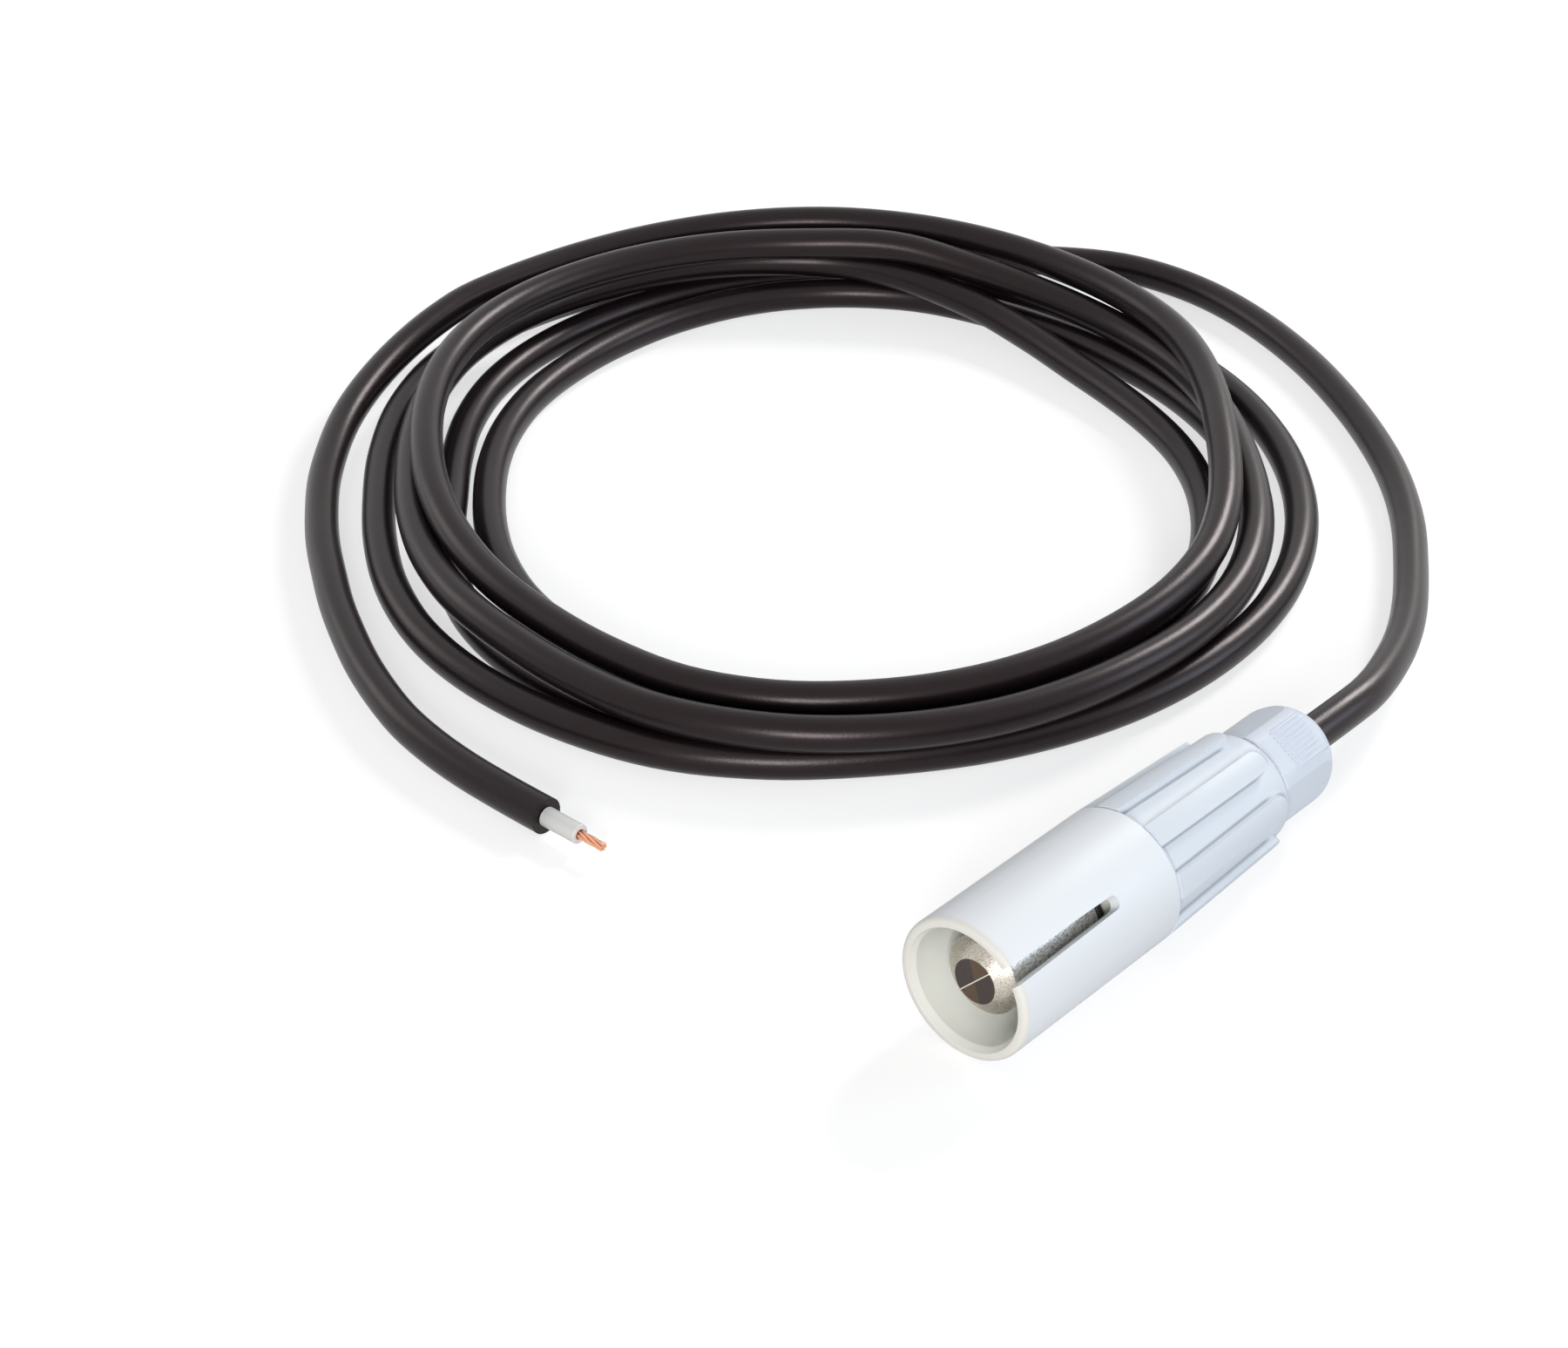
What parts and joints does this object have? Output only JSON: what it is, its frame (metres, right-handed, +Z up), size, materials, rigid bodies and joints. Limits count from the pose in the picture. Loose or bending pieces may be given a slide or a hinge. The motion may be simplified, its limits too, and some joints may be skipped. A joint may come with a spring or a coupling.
{
  "type": "level electrode on a cable",
  "caption": "Suspended level electrode: a coned steel rod in a slotted plastic skirt with a ribbed screw-on grip, a cable gland and a coiled round cable.",
  "frame": {"origin": "centre of the probe's base: under the middle of the probe's length, on the surface it lies on; the cable is left out of this", "axes": "+X along the probe's axis from the sensing mouth to the gland, +Z up, +Y towards the coiled cable"},
  "size_m": [0.2253, 0.2248, 0.022],
  "materials": {
    "white_plastic": "satin moulded",
    "blue_white_plastic": "satin moulded",
    "grey_plastic": "matte moulded",
    "core_plastic": "matte extruded",
    "steel": "turned, satin",
    "brass": "turned",
    "copper": "drawn copper wire",
    "black_rubber": "matte",
    "cable_rubber": "satin jacket"
  },
  "bodies": {
    "cable_side": {"ribbed_grip": "white_plastic", "body_o_ring": "black_rubber", "gland_seal": "black_rubber", "gland_cage": "grey_plastic", "cable_lead": "cable_rubber", "cable_coil": "cable_rubber", "cable_tail": "cable_rubber", "end_core_insulation": "core_plastic", "end_conductor": "copper"},
    "sensing_end": {"protective_skirt": "white_plastic", "electrode_rod": "steel", "electrode_o_ring": "black_rubber", "stud_washer": "steel", "spring_washer": "steel", "stud_lock_nut": "steel", "terminal_sleeve": "brass", "clamp_screw": "brass", "conductor": "copper", "core_insulation": "core_plastic"},
    "gland_cap": {"gland_nut": "blue_white_plastic"}
  },
  "joints": [
    {"name": "grip_screw_turn", "type": "hinge", "parent": "cable_side", "child": "sensing_end", "pos_m": [0, 0, 0.011], "axis": [1, 0, 0], "continuous": true},
    {"name": "gland_nut_turn", "type": "hinge", "parent": "cable_side", "child": "gland_cap", "pos_m": [0.03, 0, 0.011], "axis": [1, 0, 0], "continuous": true}
  ]
}
